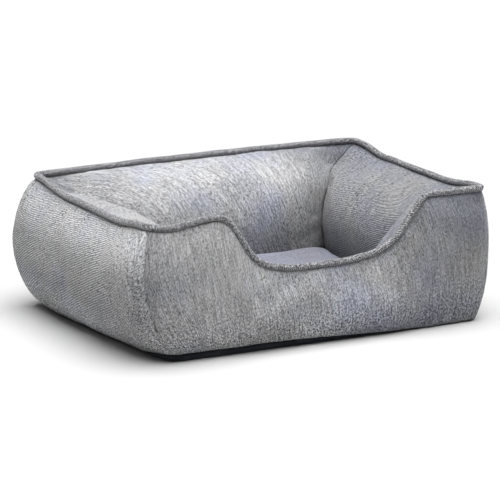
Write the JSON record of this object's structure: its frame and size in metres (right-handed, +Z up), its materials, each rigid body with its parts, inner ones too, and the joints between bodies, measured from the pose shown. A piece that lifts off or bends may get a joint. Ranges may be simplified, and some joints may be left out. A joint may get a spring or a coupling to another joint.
{
  "type": "pet cushion bed",
  "caption": "Rectangular pet bed: thick bolster walls with a piped rim, a low curved entry in the front wall, and a lift-out cushion in a fabric base.",
  "frame": {"origin": "middle of the underside of the base, on the surface the bed stands on", "axes": "+X to the right along the long side, +Y to the back, +Z up; the low entry faces -Y"},
  "size_m": [0.6788, 0.4912, 0.2345],
  "materials": {
    "wall_fabric": "matte",
    "piping_fabric": "matte",
    "cushion_fabric": "matte",
    "base_fabric": "matte",
    "lining": "matte",
    "filling": "matte",
    "piping_cord": "matte",
    "zip_fabric": "matte",
    "zip_nylon": "matte",
    "zip_metal": "satin"
  },
  "bodies": {
    "bed": {"outer_panel_front": "wall_fabric", "inner_panel_front": "wall_fabric", "bolster_fill_front": "filling", "outer_panel_back": "wall_fabric", "inner_panel_back": "wall_fabric", "bolster_fill_back": "filling", "outer_panel_left": "wall_fabric", "inner_panel_left": "wall_fabric", "bolster_fill_left": "filling", "outer_panel_right": "wall_fabric", "inner_panel_right": "wall_fabric", "bolster_fill_right": "filling", "rim_piping": "piping_fabric", "rim_piping_cord": "piping_cord", "base_cloth": "base_fabric", "base_pad": "filling", "floor_lining": "lining"},
    "cushion": {"cushion_top_panel": "cushion_fabric", "cushion_boxing": "cushion_fabric", "cushion_bottom_panel": "cushion_fabric", "cushion_fill": "filling", "zip_tape": "zip_fabric", "zip_coil": "zip_nylon", "zip_stops": "zip_metal"},
    "zip_pull": {"zip_slider": "zip_metal"}
  },
  "joints": [
    {"name": "cushion_lift", "type": "slide", "parent": "bed", "child": "cushion", "axis": [0, 0, 1], "range_m": [0, 0.26]},
    {"name": "zip_slide", "type": "slide", "parent": "cushion", "child": "zip_pull", "axis": [1, 0, 0], "range_m": [0, 0.271]}
  ]
}
